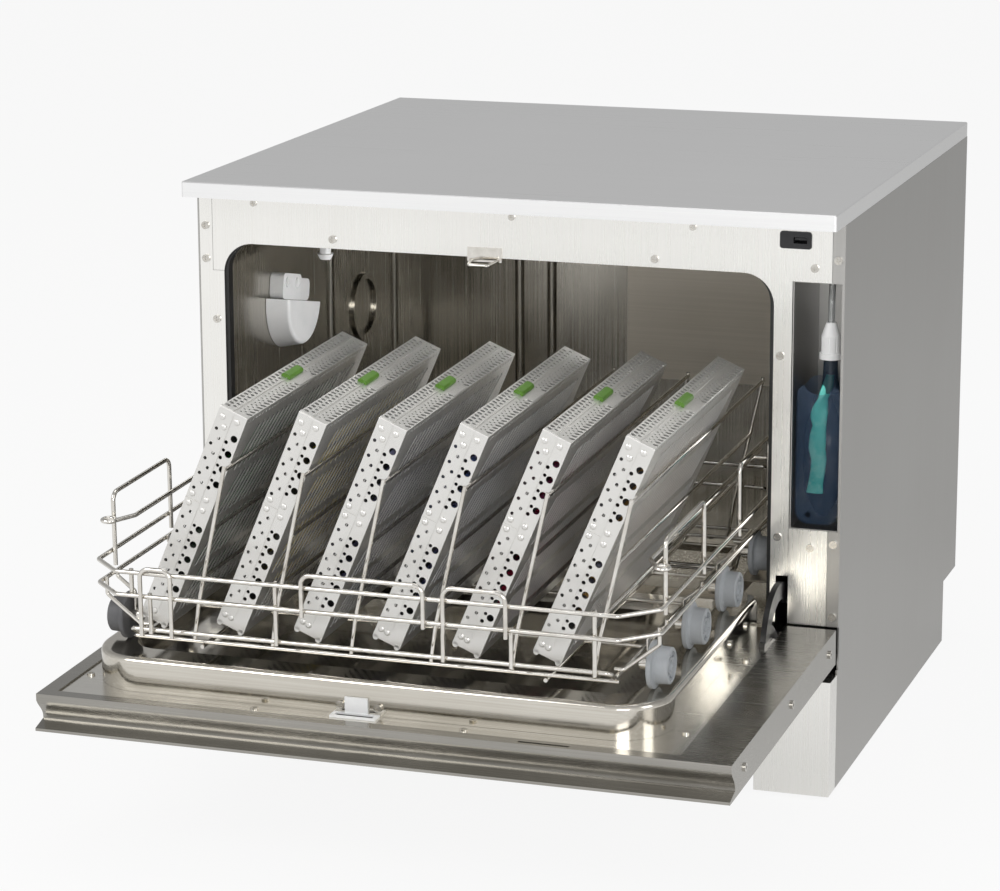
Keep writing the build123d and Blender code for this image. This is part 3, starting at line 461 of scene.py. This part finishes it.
def cassetteTrim():
    # seams, pressed dimples, hinge lugs and the tab beside the latch
    look = cassetteLook
    thick, long, high = look["thick"], look["long"], look["high"]
    shape = bmesh.new()
    addBlock(shape, (13.2, -0.7, 12), (13.9, 0.1, high - 2))
    addBlock(shape, (0.2, -0.8, high * 0.565), (13.3, 0.1, high * 0.572))
    addBlock(shape, (11.6, 4, high - 0.2), (12.3, long - 4, high + 0.8))
    addBlock(shape, (0.3, 1, high - 0.2), (12, 3.2, high + 0.9))
    addBlock(shape, (18.6, 117, high - 0.2), (25.2, 150, high + 0.7))
    toFront = Vector((0, -1, 0))
    for x, z in ((5.2, 195), (9.5, 187), (18.4, 196), (4.6, 121), (4.6, 112), (17.8, 121), (18.2, 111),
                 (5.0, 9), (10.8, 8.6)):
        addDome(shape, Vector((x, 0, z)), toFront, look["dimpleR"], look["dimpleHigh"])
        addDome(shape, Vector((x, long, z)), -toFront, look["dimpleR"], look["dimpleHigh"])
    sides = (3, thick - 3)
    for y in (1.2, 30, 70, 139, 209, 250, long - 1.2):
        for x in sides:
            addRod(shape, Vector((x, y - 1.2, 0.3)), Vector((x, y + 1.2, 0.3)), look["lugR"])
    for x in sides:
        addRod(shape, Vector((x, 2, 0.2)), Vector((x, long - 2, 0.2)), look["seamR"])
    return shape


instrumentSets = [
    {"body": (0.03, 0.16, 0.03), "tip": (0.05, 0.07, 0.05), "count": 9},
    {"body": (0.80, 0.62, 0.03), "tip": (0.09, 0.09, 0.08), "count": 9},
    {"body": (0.16, 0.15, 0.26), "tip": (0.30, 0.30, 0.50), "count": 10},
    {"body": (0.16, 0.15, 0.28), "tip": (0.12, 0.18, 0.45), "count": 10},
    {"body": (0.38, 0.02, 0.06), "tip": (0.24, 0.04, 0.12), "count": 10},
    {"body": (0.50, 0.30, 0.10), "tip": (0.12, 0.12, 0.16), "count": 9},
]
for index, kit in enumerate(instrumentSets):
    for part in ("body", "tip"):
        colour = kit[part]
        worn = tuple(min(1, value * 1.25 + 0.02) for value in colour)
        label = "instrument" + part.capitalize() + str(index + 1)
        finishes[label] = mouldedFinish(label, {"base": colour, "worn": worn, "rough": 0.3, "marks": 80})


instrumentLook = {"x": 19.5, "bottom": 38, "spread": 150, "start": 8, "end": 190, "tip": 8, "bodyR": 3.4,
                  "tipR": 3.0, "slimR": 2.2, "slimBack": 9, "slimLong": 150}


def instrumentRods(index, kit):
    # a column of instruments, each with a coloured handle, a tip and a slim one behind it
    look = instrumentLook
    dice = random.Random(40 + index)
    shape = bmesh.new()
    tips = bmesh.new()
    for number in range(kit["count"]):
        z = look["bottom"] + number * (look["spread"] / kit["count"])
        x = look["x"] + dice.uniform(-1.2, 1.6)
        start = look["start"] + dice.uniform(0, 5)
        neck = start + look["tip"]
        end = look["end"] + dice.uniform(0, 40)
        addRod(shape, Vector((x, neck, z)), Vector((x, end, z)), look["bodyR"])
        addRod(tips, Vector((x, start, z)), Vector((x, neck, z)), look["tipR"])
        slim = x - look["slimBack"]
        slimEnd = Vector((slim, start + look["slimLong"], z + 5))
        addRod(tips, Vector((slim, start + 12, z + 3)), slimEnd, look["slimR"])
    return shape, tips


def instrumentTray():
    # the dark rails that hold the instruments
    look = cassetteLook
    margin = look["trayMargin"]
    shape = bmesh.new()
    addBlock(shape, (look["trayNear"], margin, margin),
             (look["trayFar"], look["long"] - margin, look["high"] - margin))
    return shape


shellMesh = bpy.data.meshes.new("cassetteShell")
trimMesh = bpy.data.meshes.new("cassetteTrim")
for mesh, shape in ((shellMesh, cassetteShell()), (trimMesh, cassetteTrim())):
    shape.to_mesh(mesh)
    shape.free()
    mesh.materials.append(finishes["cassetteSteel"])

for index in range(6):
    body = "cassette_" + str(index + 1)
    place = cassetteFrame(index)
    for mesh in (shellMesh, trimMesh):
        piece = bpy.data.objects.new(mesh.name + str(index + 1), mesh)
        scene.collection.objects.link(piece)
        piece.matrix_world = place
        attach(piece, body)
        if mesh == shellMesh:
            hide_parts(body)
            rounding = piece.modifiers.new("foldedEdges", "BEVEL")
            rounding.width = cassetteLook["fold"]
            rounding.segments = 2
            rounding.limit_method = "ANGLE"
            thickness = piece.modifiers.new("sheetThickness", "SOLIDIFY")
            thickness.thickness = cassetteLook["sheet"]
            thickness.offset = -1
    rods, tips = instrumentRods(index, instrumentSets[index])
    tray = instrumentTray()
    for shape in (rods, tips, tray):
        shape.transform(place)
    putMesh("instrumentTray" + str(index + 1), tray, "trayRubber", body)
    putMesh("instrumentHandles" + str(index + 1), rods, "instrumentBody" + str(index + 1), body,
            True)
    putMesh("instrumentEnds" + str(index + 1), tips, "instrumentTip" + str(index + 1), body,
            True)
print("cassettes built")

wheelLook = {"ribs": 8, "hub": 0.0069, "rim": 0.0119, "width": 0.0011, "recess": 0.0022}


def wheelRibs(name, side):
    # short ribs in the recess of the wheel's outer face
    look = wheelLook
    corners = [nodes[name].matrix_world @ Vector(corner) for corner in nodes[name].bound_box]
    low = Vector([min(corner[axis] for corner in corners) for axis in range(3)])
    high = Vector([max(corner[axis] for corner in corners) for axis in range(3)])
    centre = (low + high) / 2
    centre.x = (high.x if side > 0 else low.x) - side * look["recess"]
    shape = bmesh.new()
    for step in range(look["ribs"]):
        angle = math.tau * (step + 0.5) / look["ribs"]
        ray = Vector((0, math.cos(angle), math.sin(angle)))
        addRod(shape, centre + ray * look["hub"], centre + ray * look["rim"], look["width"], 8)
    return shape


for number in range(1, 5):
    for word, side in (("left", -1), ("right", 1)):
        wheel = "wheel_" + word + "_" + str(number)
        # the ribs follow their wheel: painted shade on the left, plain grey on the right
        shade = "dark" if side < 0 else "grey"
        putMesh("wheelRibs" + word.capitalize() + str(number), wheelRibs(wheel, side), shade + "Wheel",
                wheel, True)
print("wheels ribbed")

bagLook = {
    "x": 276.5, "y": 60.0, "low": 243.5, "high": 352.0, "half": 16.5, "deep": 9.5,
    "neckX": 283.0, "neckLow": 356.0, "neckRise": 29.5, "neckR": 6.2, "neckFlare": 2.4, "neckDepth": 1.2,
    "neckFolds": 7, "neckFold": 0.5, "ribbonFront": -6.6, "ribbonBow": 1.8, "ribbonBend": 348,
    "ribbonThick": 0.0012,
}
ribbonCourse = [  # height, x, width and twist, from the neck down
    (372, 283.5, 5, 0.0), (362, 281.5, 9, 0.5), (351, 278, 12, 1.0), (343, 276, 13.5, 0.4),
    (334, 275.2, 14.5, -0.2), (327, 275.8, 11, 0.1), (318, 274.6, 13.5, 0.0), (306, 274.2, 14.5, -0.1),
    (297, 275.8, 12.5, 0.2), (287, 275.2, 12, 0.0), (276, 273.6, 12.5, -0.15), (268, 272.8, 14, 0.0),
    (266.5, 272.5, 14, 0.0),
]


def grid(shape, rows, columns, point, wrap=False):
    # a sheet of quads through point(row, column), both from 0 to 1
    last = columns if wrap else columns - 1
    verts = [[shape.verts.new(point(i / (rows - 1), j / last)) for j in range(columns)]
             for i in range(rows)]
    for i in range(rows - 1):
        for j in range(last):
            after = (j + 1) % columns
            shape.faces.new((verts[i][j], verts[i][after], verts[i + 1][after], verts[i + 1][j]))
    return verts


def filmBag():
    # the slack lower part of the bag, creased and flattened in its holder
    look = bagLook
    shape = bmesh.new()

    def point(t, around):
        angle = math.tau * around
        z = look["low"] + (look["high"] - look["low"]) * t
        ends = math.sin(math.pi * min(0.5, 0.06 + t * 1.6)) * (1 - 0.55 * max(0, t - 0.72) / 0.28)
        crease = 0.9 * math.sin(3 * angle + 9 * t) + 0.6 * math.sin(5 * angle - 21 * t)
        crease += 0.5 * math.sin(34 * t)
        wide = look["half"] * ends + crease * 0.6
        deep = look["deep"] * ends + crease
        return (look["x"] + math.cos(angle) * wide, look["y"] + 5 + math.sin(angle) * deep, z)

    rows = grid(shape, 46, 36, point, wrap=True)
    shape.faces.new(rows[0][::-1])
    shape.faces.new(rows[-1])
    return shape


def tealRibbon():
    # the coloured fill seen through the film: a soft twisted band that widens and narrows on its way down
    look = bagLook
    shape = bmesh.new()

    def point(t, across):
        place = t * (len(ribbonCourse) - 1)
        index = min(int(place), len(ribbonCourse) - 2)
        blend = place - index
        blend = blend * blend * (3 - 2 * blend)
        ends = zip(ribbonCourse[index], ribbonCourse[index + 1])
        z, x, wide, twist = (a + (b - a) * blend for a, b in ends)
        side = (across - 0.5) * wide
        bow = look["ribbonBow"] * (1 - (2 * across - 1) ** 2)
        front = look["y"] + look["ribbonFront"]
        if z > look["ribbonBend"]:
            front += min(5, (z - look["ribbonBend"]) * 0.25)
        return (x + side * math.cos(twist), front - bow + side * math.sin(twist) * 0.5, z)

    grid(shape, 73, 11, point)
    return shape


def bagNeck():
    # the gathered film below the cap
    look = bagLook
    shape = bmesh.new()

    def point(t, around):
        angle = math.tau * around
        slack = 1 - t
        fold = look["neckFold"] * math.sin(look["neckFolds"] * angle)
        wide = look["neckR"] + look["neckFlare"] * slack ** 2 + fold * slack
        deep = look["neckR"] + look["neckDepth"] * slack
        return (look["neckX"] + math.cos(angle) * wide, look["y"] + math.sin(angle) * deep,
                look["neckLow"] + look["neckRise"] * t)

    grid(shape, 12, 28, point, wrap=True)
    return shape


bagShape = filmBag()
ribbonShape = tealRibbon()
neckShape = bagNeck()
for shape in (bagShape, ribbonShape, neckShape):
    shape.transform(toMetres)
putMesh("detergentFilm", bagShape, "bagFilm", "cabinet", True, ["detergent_bag"])
putMesh("detergentNeck", neckShape, "bagFilm", "cabinet", True)
ribbon = putMesh("detergentRibbon", ribbonShape, "tealBag", "cabinet", True)
ribbon.modifiers.new("filmThickness", "SOLIDIFY").thickness = bagLook["ribbonThick"]
print("detergent bag built")


# Light, floor and camera

stageLook = {"floor": (0.80, 0.80, 0.79), "floorHalf": 9, "ambient": 0.42, "keyPower": 34, "sidePower": 9,
             "topPower": 12, "fillPower": 10, "chamberPower": 0.8}


def floorFinish():
    material = bpy.data.materials.new("paleFloor")
    material.use_nodes = True
    tree = material.node_tree
    shader = tree.nodes["Principled BSDF"]
    shader.inputs["Base Color"].default_value = rgba(stageLook["floor"])
    shader.inputs["Roughness"].default_value = 0.9
    shader.inputs["Specular IOR Level"].default_value = 0
    glow = tree.nodes.new("ShaderNodeEmission")
    glow.inputs["Color"].default_value = (1, 1, 1, 1)
    path = tree.nodes.new("ShaderNodeLightPath")
    mix = tree.nodes.new("ShaderNodeMixShader")
    # metal sees a bright floor towards the front and a greyer one behind the machine
    place = tree.nodes.new("ShaderNodeTexCoord")
    split = tree.nodes.new("ShaderNodeSeparateXYZ")
    tree.links.new(place.outputs["Object"], split.inputs[0])
    frontness = mapRange(tree, split.outputs["Y"], -0.8, 0.8, 0.85, 0.22)
    mirrored = mathNode(tree, "MAXIMUM", path.outputs["Is Glossy Ray"], path.outputs["Is Transmission Ray"])
    seen = mathNode(tree, "MAXIMUM", mathNode(tree, "MULTIPLY", path.outputs["Is Camera Ray"], 0.9),
                    mathNode(tree, "MULTIPLY", mirrored, frontness))
    tree.links.new(seen, mix.inputs["Fac"])
    tree.links.new(shader.outputs[0], mix.inputs[1])
    tree.links.new(glow.outputs[0], mix.inputs[2])
    tree.links.new(mix.outputs[0], tree.nodes["Material Output"].inputs["Surface"])
    return material


far = stageLook["floorHalf"]
floorMesh = bpy.data.meshes.new("floor")
floorMesh.from_pydata([(-far, -far, 0), (far, -far, 0), (far, far, 0), (-far, far, 0)], [], [(0, 1, 2, 3)])
floorMesh.materials.append(floorFinish())
floor = bpy.data.objects.new("floor", floorMesh)
scene.collection.objects.link(floor)


def buildWorld():
    world = bpy.data.worlds.new("studio")
    scene.world = world
    world.use_nodes = True
    tree = world.node_tree
    background = tree.nodes["Background"]
    place = tree.nodes.new("ShaderNodeTexCoord")
    split = tree.nodes.new("ShaderNodeSeparateXYZ")
    tree.links.new(place.outputs["Generated"], split.inputs[0])
    # brighter towards the front, greyer towards the back and overhead
    frontness = mapRange(tree, split.outputs["Y"], -0.7, 0.5, 1.0, 0.50)
    height = mapRange(tree, split.outputs["Z"], 0.1, 0.9, 1.0, 0.62)
    glossy = mathNode(tree, "MULTIPLY", frontness, height)
    path = tree.nodes.new("ShaderNodeLightPath")
    isGloss = mathNode(tree, "MAXIMUM", path.outputs["Is Glossy Ray"], path.outputs["Is Transmission Ray"])
    isDull = mathNode(tree, "SUBTRACT", 1.0, isGloss)
    base = mathNode(tree, "ADD", mathNode(tree, "MULTIPLY", isGloss, glossy),
                    mathNode(tree, "MULTIPLY", isDull, stageLook["ambient"]))
    seen = path.outputs["Is Camera Ray"]
    strength = mathNode(tree, "ADD", mathNode(tree, "MULTIPLY", seen, 1.0),
                        mathNode(tree, "MULTIPLY", mathNode(tree, "SUBTRACT", 1.0, seen), base))
    tree.links.new(strength, background.inputs["Strength"])
    background.inputs["Color"].default_value = (1, 1, 1, 1)


buildWorld()


def softLamp(name, position, target, size, power):
    lamp = bpy.data.lights.new(name, "AREA")
    lamp.shape = "RECTANGLE"
    lamp.size, lamp.size_y = size
    lamp.energy = power
    holder = bpy.data.objects.new(name, lamp)
    scene.collection.objects.link(holder)
    holder.location = position
    holder.rotation_euler = (Vector(target) - Vector(position)).to_track_quat("-Z", "Y").to_euler()
    return holder


softLamp("keyLight", (-1.6, -2.4, 2.2), (0, 0, 0.3), (1.6, 1.2), stageLook["keyPower"])
softLamp("sideLight", (2.4, -1.0, 1.4), (0.1, 0.1, 0.2), (0.9, 1.4), stageLook["sidePower"])
softLamp("fillLight", (0.9, -2.3, 0.75), (-0.1, 0, 0.3), (0.8, 0.8), stageLook["fillPower"])
chamberLamp = softLamp("chamberLight", (0.12, -0.02, 0.42), (-0.27, 0.08, 0.37), (0.1, 0.05),
                      stageLook["chamberPower"])
chamberLamp.visible_camera = False
chamberLamp.visible_glossy = False
softLamp("topLight", (0.0, 0.3, 2.6), (0, 0, 0), (1.8, 1.4), stageLook["topPower"])

cameraLook = {"position": (0.94678, -2.93786, 1.02361), "yaw": -0.32524, "pitch": -0.23921,
              "roll": -0.00385, "focalPixels": 3454.86, "sensor": 36, "pictureWidth": 1000}
cameraData = bpy.data.cameras.new("photoCamera")
cameraData.sensor_width = cameraLook["sensor"]
cameraData.lens = cameraLook["focalPixels"] * cameraLook["sensor"] / cameraLook["pictureWidth"]
cameraData.clip_start = 0.05
camera = bpy.data.objects.new("photoCamera", cameraData)
scene.collection.objects.link(camera)
yaw, pitch = cameraLook["yaw"], cameraLook["pitch"]
forward = Vector((math.sin(yaw) * math.cos(pitch), math.cos(yaw) * math.cos(pitch), math.sin(pitch)))
turn = forward.to_track_quat("-Z", "Y").to_matrix() @ Matrix.Rotation(cameraLook["roll"], 3, "Z")
camera.matrix_world = Matrix.Translation(cameraLook["position"]) @ turn.to_4x4()
scene.camera = camera
print("stage and camera ready")
